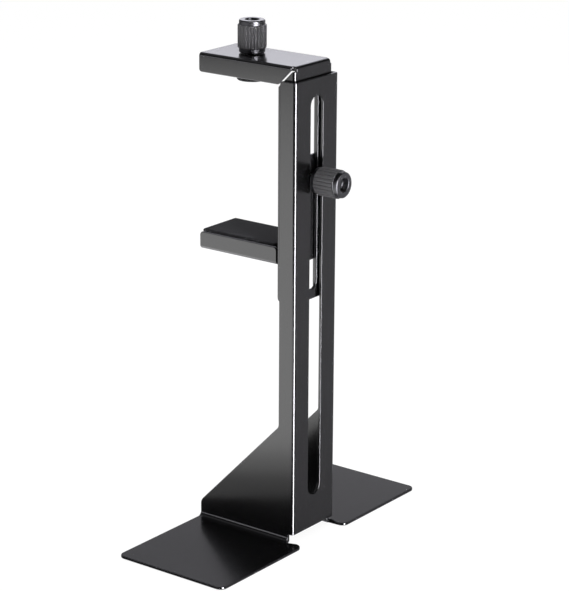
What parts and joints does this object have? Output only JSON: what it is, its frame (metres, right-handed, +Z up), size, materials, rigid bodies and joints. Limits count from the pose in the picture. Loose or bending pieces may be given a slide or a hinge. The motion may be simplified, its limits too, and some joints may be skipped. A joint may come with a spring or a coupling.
{
  "type": "graphics card support bracket",
  "caption": "Folded sheet stand with a slotted column, a sliding clamp arm and a sliding tray arm that hold the end of a graphics card, locked by a knurled thumb screw.",
  "frame": {"origin": "on the floor, under the middle of the whole bracket's box", "axes": "+Z up; +Y from the slotted web back under the card; +X to the right seen from the front, where the lock knob is"},
  "size_m": [0.1322, 0.062, 0.2086],
  "materials": {
    "stand_coat": "smooth semi-gloss black powder coat",
    "arm_coat": "smooth semi-gloss black powder coat",
    "soft_pad": "matt black foam rubber",
    "knob_metal": "dark grey anodised, satin knurl and bright turned rings",
    "screw_steel": "dark nickel plated",
    "nut_steel": "bright zinc plated",
    "foot_metal": "black anodised"
  },
  "bodies": {
    "stand": {"stand": "stand_coat"},
    "tray_arm": {"lower_arm": "arm_coat", "lower_arm_pad": "soft_pad", "lock_nut": "nut_steel"},
    "clamp_arm": {"upper_arm": "arm_coat", "clamp_nut": "nut_steel"},
    "lock_screw": {"lock_screw": "screw_steel", "lock_knob": "knob_metal"},
    "pressure_foot": {"clamp_foot": "foot_metal", "clamp_foot_pad": "soft_pad"},
    "clamp_screw": {"clamp_screw": "screw_steel", "clamp_knob": "knob_metal"}
  },
  "joints": [
    {"name": "tray_height", "type": "slide", "parent": "stand", "child": "tray_arm", "axis": [0, 0, 1], "range_m": [-0.065, 0.031]},
    {"name": "clamp_opening", "type": "slide", "parent": "tray_arm", "child": "clamp_arm", "axis": [0, 0, 1], "range_m": [-0.034, 0.043]},
    {"name": "lock_turn", "type": "hinge", "parent": "tray_arm", "child": "lock_screw", "pos_m": [0, -0.0177, 0.1491], "axis": [0, -1, 0], "range_deg": [0, 360]},
    {"name": "clamp_press", "type": "slide", "parent": "clamp_arm", "child": "pressure_foot", "axis": [0, 0, 1], "range_m": [0, 0.0025]},
    {"name": "clamp_turn", "type": "hinge", "parent": "pressure_foot", "child": "clamp_screw", "pos_m": [0, 0.0141, 0.1953], "axis": [0, 0, 1], "range_deg": [0, 1800]}
  ],
  "couplings": [
    {"joint": "clamp_turn", "follows": "clamp_press", "rad_per_m": 12566}
  ]
}
